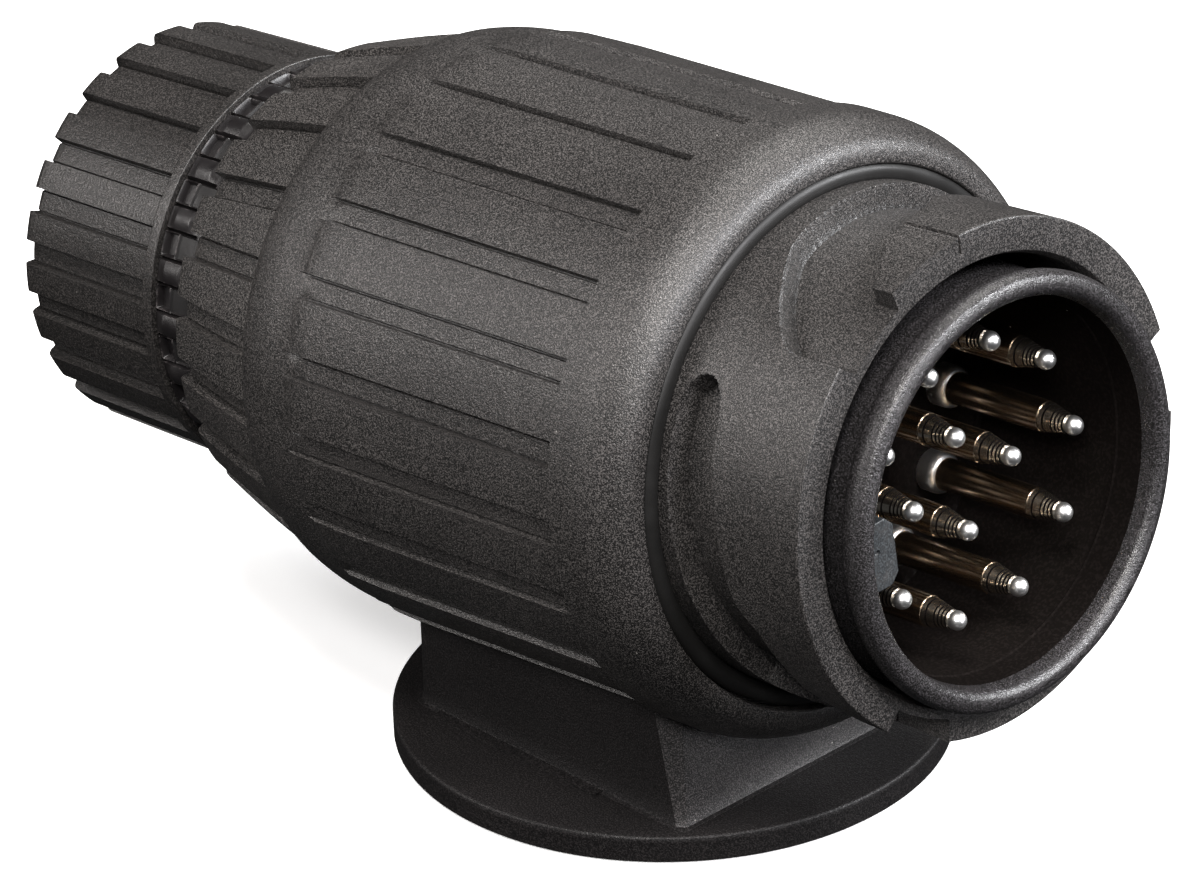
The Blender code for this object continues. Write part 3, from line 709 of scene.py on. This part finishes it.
def make_tube(look, inside_shade_look, key_look):
    """The round shell with its rolled rim, and the key along the inside of its wall."""
    rows = outline(
        (
            (0.55, 18.5, 0.0),
            (0.2, 19.15, 0.25),
            (-0.6, RIM_RADIUS, 0.5),
            (-1.9, 19.25, 0.5),
            (-2.4, TUBE_RADIUS, 0.3),
            (-25.3, TUBE_RADIUS, 0.0),
            (-25.3, 24.2, 0.3),
            (-28.9, 24.2, 0.3),
            (-28.9, 21.5, 0.0),
            (-57.0, 21.5, 0.3),
            (-57.0, MOUTH_RADIUS, 0.0),
            (-4.35, MOUTH_RADIUS, 0.0),
            (-4.2, MOUTH_RADIUS - 0.14, 0.0),
            (-4.05, MOUTH_RADIUS, 0.0),
            (-1.2, MOUTH_RADIUS, 0.6),
            (0.1, 17.35, 0.4),
            (0.55, 17.95, 0.25),
        ),
        steps=5,
    )
    tube = skin("contact_tube_shell", rows, even(240), look)
    tube.data.materials.append(inside_shade_look)
    # faces inside the mouth get the darker copy of the plastic without shine: painted shade
    for face in tube.data.polygons:
        middle = face.center
        if middle.x < -1.3 * MM and Vector((middle.y, middle.z)).length < (MOUTH_RADIUS + 0.1) * MM:
            face.material_index = 1

    work = bmesh.new()
    bmesh.ops.create_cube(work, size=1.0)
    low, high = KEY_TIP, MOUTH_RADIUS + 0.6
    size = Vector((KEY_FRONT - KEY_REAR, high - low, KEY_WIDTH)) * MM
    bmesh.ops.scale(work, verts=work.verts, vec=size)
    tip = [edge for edge in work.edges if all(v.co.y < 0 for v in edge.verts)]
    tip = [edge for edge in tip if abs(edge.verts[0].co.x - edge.verts[1].co.x) > 0.001]
    bmesh.ops.bevel(work, geom=tip, offset=0.9 * MM, segments=1, affect="EDGES", profile=0.5)
    bmesh.ops.bevel(work, geom=work.edges[:], offset=0.12 * MM, segments=2, affect="EDGES", profile=0.5)
    middle = Vector(((KEY_FRONT + KEY_REAR) / 2, (low + high) / 2, 0.0)) * MM
    bmesh.ops.translate(work, verts=work.verts, vec=middle)
    turn = Matrix.Rotation(radians(KEY_ANGLE + 90.0), 3, "X")  # the key points along +Y until now
    bmesh.ops.rotate(work, verts=work.verts, matrix=turn, cent=(0, 0, 0))
    key = from_bmesh("contact_key", work, key_look)
    dimple(key, key_look)
    return join(tube, key)


def dimple(key, look):
    """A small ejector mark in the front face of the key."""
    turn = radians(KEY_ANGLE - 1.5)
    work = bmesh.new()
    centre = Vector((KEY_FRONT, -MARK_DISTANCE * sin(turn), MARK_DISTANCE * cos(turn))) * MM
    bmesh.ops.create_uvsphere(work, u_segments=16, v_segments=10, radius=MARK_RADIUS * MM)
    bmesh.ops.translate(work, verts=work.verts, vec=centre)
    cutter = from_bmesh("key_mark", work, look)
    modifier = key.modifiers.new("Mark", "BOOLEAN")
    modifier.object = cutter
    modifier.solver = "EXACT"
    bpy.context.view_layer.update()
    cut = bpy.data.meshes.new_from_object(key.evaluated_get(bpy.context.evaluated_depsgraph_get()))
    key.modifiers.clear()
    key.data = cut
    bpy.data.objects.remove(cutter)


def pin_places():
    """(side, up, rear end of the terminal) of each contact."""
    angles = KEY_ANGLE + 180.0 + PIN_PITCH * (np.arange(PIN_COUNT) - (PIN_COUNT - 1) / 2)
    turns = np.radians(angles)
    ring = [(-PIN_RING * sin(t), PIN_RING * cos(t), OUTER_TERMINAL_REAR) for t in turns]
    return ring + [(-toward_key, up, INNER_TERMINAL_REAR) for up, toward_key in INNER_PINS]


def pin_rows(rear):
    """A contact's profile: ball tip, ringed cone, shaft, collar on the carrier, screw terminal."""
    ball, body, collar = PIN_BALL, PIN_BODY, PIN_COLLAR
    turns = np.radians(np.linspace(0, 125, 16))
    rows = [(PIN_TIP - ball + ball * cos(t), ball * sin(t)) for t in turns]
    for station in CONE_GROOVES:
        radius = float(np.interp(station, (CONE_REAR, CONE_FRONT), (body - 0.05, 0.84)))
        rows += [(station, radius), (station - 0.03, radius - 0.1), (station - 0.15, radius - 0.1)]
        rows += [(station - 0.18, radius + 0.02)]
    rows += [(CONE_REAR, body - 0.05), (CONE_REAR - 0.02, body - 0.1), (CONE_REAR - 0.1, body - 0.02)]
    rows += [(-13.0, body), (-18.0, body), (-18.35, body + 0.02)]
    turn = np.radians(np.linspace(0, 90, 8))
    rows += [(-18.6 - 0.9 * (1 - cos(t)), body + 0.05 + (collar - body - 0.05) * sin(t)) for t in turn]
    rows += [(-20.85, collar), (-20.85, body), (-26.0, body), (-26.0, 1.7), (-28.3, 1.7), (-28.3, 1.9)]
    return np.array(rows + [(rear, 1.9), (rear, 1.1), (rear + 8.0, 1.1), (rear + 8.0, 0.0)])


def make_pins(look, highlight_look, cone_look, groove_shade_look):
    """Thirteen contacts: ball and collar in a whiter copy of the plating as painted highlight, plain shaft, paler
    cone with grooves in near-black plastic as painted shade.
    """
    for number, (side, up, rear) in enumerate(pin_places(), 1):
        name, at = f"contact_pin_{number:02d}", (side, up)
        pin = skin(name, pin_rows(rear), even(40), look, closed=False, at=at)
        for other in (highlight_look, cone_look, groove_shade_look):
            pin.data.materials.append(other)
        for face in pin.data.polygons:
            station = face.center.x / MM
            # ball tips and collars get the whiter copy of the plating: painted highlight
            if station > BALL_REAR or PIN_COLLAR_REAR < station < PIN_COLLAR_FRONT:
                face.material_index = 1
            # grooves in the cones get the mouth's near-black plastic: painted shade
            elif any(0.01 < groove - station < 0.17 for groove in CONE_GROOVES):
                face.material_index = 3
            elif station > CONE_REAR:
                face.material_index = 2
        declare(pin, "insert", "nickel_plate", f"pin_{number:02d}")


def make_carrier(look):
    """The insulating disc that the contacts stand in."""
    radius = MOUTH_RADIUS - 0.05
    step = CARRIER_FACE + 0.35
    corners = ((CARRIER_FACE, 0.0, 0.0), (CARRIER_FACE, radius - 1.4, 0.15), (step, radius - 1.1, 0.15))
    corners += ((step, radius, 0.0), (-27.0, radius, 0.0), (-27.0, 0.0, 0.0))
    return skin("contact_carrier_disc", outline(corners), even(160), look, closed=False)


def gap_share(across, half):
    """How deep the gap between two ribs is: a steep side, a crease at its foot, then its floor."""
    return np.interp(across - half, (-0.1, 0.1, 0.3, 0.7), (0.0, 1.2, 1.2, 1.0))


def rib_relief(stations, angles, radii):
    """Ribs with gaps of an even width, which stop a little short of the ribs' rear ends."""
    offset = off_centre(angles, RIB_PHASE)
    half = (PITCH - np.degrees(RIB_GAP / np.maximum(radii, 20.0))) / 2
    inside = abs(offset) * half / RIB_HALF
    outside = PITCH / 2 - (PITCH / 2 - abs(offset)) * (PITCH / 2 - half) / (PITCH / 2 - RIB_HALF)
    moved = np.where(abs(offset) < RIB_HALF, inside, outside) * np.sign(offset)
    gap = gap_share(abs(offset), RIB_HALF)
    stations = stations + 0.4 * gap * (radii > 19.8) * (stations < -82.0)
    radii = radii - RIB_DEPTH * gap * (radii > 20.8) * wall(RIB_FRONT - 0.1 - stations, 0.2)
    return stations, angles - offset + moved, radii


def claw_relief(stations, angles, radii):
    """Rounded lumps round the ring, with a flat block and a sunk window between each two of them."""
    across = abs(off_centre(angles, WINDOW_PHASE))
    window = wall(stations - WINDOW_REAR, 0.1) * wall(WINDOW_FRONT - stations, 0.1)
    window = window * wall(WINDOW_HALF - across, 0.3)
    block = wall(WINDOW_HALF + 0.2 - across, 0.3) * wall(stations - BLOCK_REAR, 0.15)
    slit = wall(0.4 - abs(across - WINDOW_HALF - 0.6), 0.25) * wall(SLIT_FRONT - stations, 0.2)
    lump = 0.4 * np.cos(np.radians(np.clip((PITCH / 2 - across) * 22.0, 0.0, 90.0)))
    lump = lump * wall(stations - LUMP_REAR, 0.9) * wall(LUMP_FRONT - stations, 0.9)
    change = lump - 0.7 * window - 0.25 * block - 0.7 * slit
    return stations, angles, np.where(radii > 18.0, radii + change, radii)


def nut_relief(stations, angles, radii):
    """Gaps between the nut's ribs, behind its flange."""
    gap = gap_share(abs(off_centre(angles, NUT_PHASE)), NUT_HALF)
    gap = gap * (radii > 17.6) * wall(FLANGE_REAR - stations, 0.2)
    return stations, angles, radii - RIB_DEPTH * gap


def rib_lines(phase, half):
    """Angles of the mesh lines that ribs of this half width need."""
    steps = [half + step for step in (-2.2, -0.5, -0.1, 0.1, 0.3, 0.7)]
    return lines(phase, [0.0, PITCH / 2, *steps, *(-step for step in steps)])


def make_rear_housing(look):
    rows = outline(
        (
            (-57.3, 16.8, 0.0),
            (-57.3, 24.2, 0.3),
            (RIB_FRONT + 0.17, 24.2, 0.0),
            (RIB_FRONT + 0.17, 25.7, 0.0),
            (-76.5, 24.1, 4.0),
            (RIB_REAR, 22.1, 0.9),
            (RIB_REAR, 19.7, 0.3),
            (-78.5, 19.7, 0.0),
            (-78.5, 14.2, 0.0),
            (-98.0, 14.2, 0.5),
            (-98.0, 9.6, 0.4),
            (-79.0, 9.6, 0.0),
            (-73.0, 14.0, 0.0),
            (-49.0, 14.0, 0.0),
            (-49.0, 16.8, 0.0),
        ),
        [-70.1, -70.25, -70.4, -70.6, *np.arange(-81.5, -71.0, 1.5)],
        above=20.5,
    )
    return skin("rear_housing_ribbed", rows, rib_lines(RIB_PHASE, RIB_HALF), look, rib_relief)


def make_claw_ring(look, block_look):
    rows = outline(
        ((-80.5, 19.1, 0.3), (-89.2, 19.1, 0.1), (-89.2, 14.5, 0.0), (-80.5, 14.5, 0.0)),
        np.arange(-89.1, -84.6, 0.12),
        above=18.0,
    )
    ring = skin("claw_ring_toothed", rows, even(1080), look, claw_relief)
    ring.data.materials.append(block_look)
    for face in ring.data.polygons:
        x, y, z = face.center / MM
        across = abs(off_centre(np.degrees(np.arctan2(-y, z)), WINDOW_PHASE))
        face.material_index = int(x > -87.2 and across < WINDOW_HALF and Vector((y, z)).length > 18.0)
    return ring


def make_nut(look):
    rows = outline(
        (
            (NUT_FRONT, 17.0, 0.2),
            (NUT_FRONT, 19.6, 0.12),
            (NUT_FRONT - 1.2, 19.6, 0.1),
            (FLANGE_REAR, 19.4, 0.0),
            (NUT_REAR, 19.05, 1.0),
            (NUT_REAR, 7.3, 0.6),
            (-104.6, 6.4, 0.3),
            (-101.6, 9.0, 0.0),
            (-101.6, 14.5, 0.0),
            (NUT_FRONT, 14.5, 0.0),
        ),
        [*(FLANGE_REAR - np.array((0.05, 0.2, 0.4, 0.8))), *np.arange(-106.0, -92.0, 2.0)],
        above=17.3,
    )
    return skin("cap_nut_ribbed", rows, rib_lines(NUT_PHASE, NUT_HALF), look, nut_relief)


# ---------------------------------------------------------------- assembly

make_camera()
make_studio()

SOOT, NUT_SOOT = (0.007, 0.0066, 0.0064), (0.009, 0.0084, 0.008)
grip_black = moulded_plastic("grip_black", SOOT, (0.084, 0.078, 0.075), 0.42, 0.13, 0.055)
insert_black = moulded_plastic("insert_black", SOOT, (0.058, 0.054, 0.057), 0.31, 0.125, 0.05)
# a lighter copy of the foot's plastic for the pillar's front faces: painted light
pillar_front_painted_light = moulded_plastic("pillar_front_painted_light", SOOT, (0.066, 0.06, 0.06), 0.5, 0.13, 0.05, 0.0)
cone_black = moulded_plastic("cone_black", SOOT, (0.115, 0.107, 0.102), 0.42, 0.13, 0.055)
nut_black = moulded_plastic("nut_black", NUT_SOOT, (0.05, 0.046, 0.044), 0.42, 0.15, 0.035, 0.1, 0.3)
key_grey = moulded_plastic("key_grey", (0.014, 0.0155, 0.017), (0.05, 0.056, 0.06), 0.5, 0.2, 0.03)
# the foot's plastic is a darker, less shiny copy of the grip's: painted shade, where the barrel shades the foot
FOOT_SHADE_BLACK, FOOT_SHADE_FLECK = (0.003, 0.0026, 0.0027), (0.02, 0.018, 0.018)
foot_painted_shade = moulded_plastic("foot_painted_shade", FOOT_SHADE_BLACK, FOOT_SHADE_FLECK, 0.55, 0.15, 0.05, 0.0)
# the mouth's plastic is a darker copy of the insert's, without shine: painted shade inside the mouth
MOUTH_SHADE_BLACK, MOUTH_SHADE_FLECK = (0.005, 0.0042, 0.0038), (0.008, 0.0065, 0.006)
mouth_painted_shade = moulded_plastic("mouth_painted_shade", MOUTH_SHADE_BLACK, MOUTH_SHADE_FLECK, 0.8, 0.3, 0.008)
# the painted-shade copies of the plastic lose some or all of their shine
for look, specular in ((foot_painted_shade, 0.25), (mouth_painted_shade, 0.0)):
    look.node_tree.nodes["Principled BSDF"].inputs["Specular IOR Level"].default_value = specular
rubber = seal_rubber()
gloss_black = gloss_plastic("gloss_black", (0.008, 0.0068, 0.0072), 0.32)
block_grey = gloss_plastic("claw_block_grey", (0.005, 0.0045, 0.0046), 0.5)
nickel = plated_metal("nickel_plate", (0.6, 0.46, 0.32), (0.5, 0.37, 0.25), 0.2, 0.1, 0.002)
cone_nickel = plated_metal("cone_nickel", (0.62, 0.55, 0.46), (0.5, 0.44, 0.36), 0.2, 0.1, 0.002)
# a whiter copy of the plating for ball tips and collars: painted highlight
nickel_painted_highlight = plated_metal("nickel_painted_highlight", (1.0, 1.0, 0.99), (0.95, 0.94, 0.92), 0.33, 0.3, 0.001)
brass = plated_metal("brass_screw", (0.78, 0.6, 0.3), (0.5, 0.36, 0.16), 0.25, 0.1, 0.006)
steel = plated_metal("spring_steel", (0.6, 0.6, 0.6), (0.35, 0.33, 0.31), 0.25, 0.2, 0.006)

barrel, collar = make_sleeve(grip_black)
declare(barrel, "grip", "grip_black", "grip_sleeve")
declare(collar, "grip", "grip_black", "grip_sleeve")
declare(make_seal(rubber), "grip", "seal_rubber", "front_seal")
declare(make_foot(foot_painted_shade, pillar_front_painted_light), "grip", "grip_black", "grip_foot")
declare(make_tube(insert_black, mouth_painted_shade, key_grey), "insert", "insert_black", "contact_tube")
# the carrier is drawn in the mouth's painted-shade plastic
declare(make_carrier(mouth_painted_shade), "insert", "insert_black", "contact_carrier")
declare(make_rear_housing(cone_black), "insert", "grip_black", "rear_housing")
declare(make_claw_ring(gloss_black, block_grey), "insert", "gloss_black", "claw_ring")
declare(make_nut(nut_black), "cap_nut", "nut_black", "cap_nut")
make_pins(nickel, nickel_painted_highlight, cone_nickel, mouth_painted_shade)

SLOT_LOOKS = {
    # the insert's remaining parts take the mouth's painted-shade plastic
    "insert_black": mouth_painted_shade,
    "seal_rubber": rubber,
    "spring_steel": steel,
    "brass_screw": brass,
    "nickel_plate": nickel,
    "grip_black": grip_black,
    "nut_black": nut_black,
    "gloss_black": gloss_black,
}
for part in frame["record"]["subparts"]:
    node = frame["nodes"][part["node"]]
    node.data.materials.clear()
    node.data.materials.append(SLOT_LOOKS[part["material_slot"]])
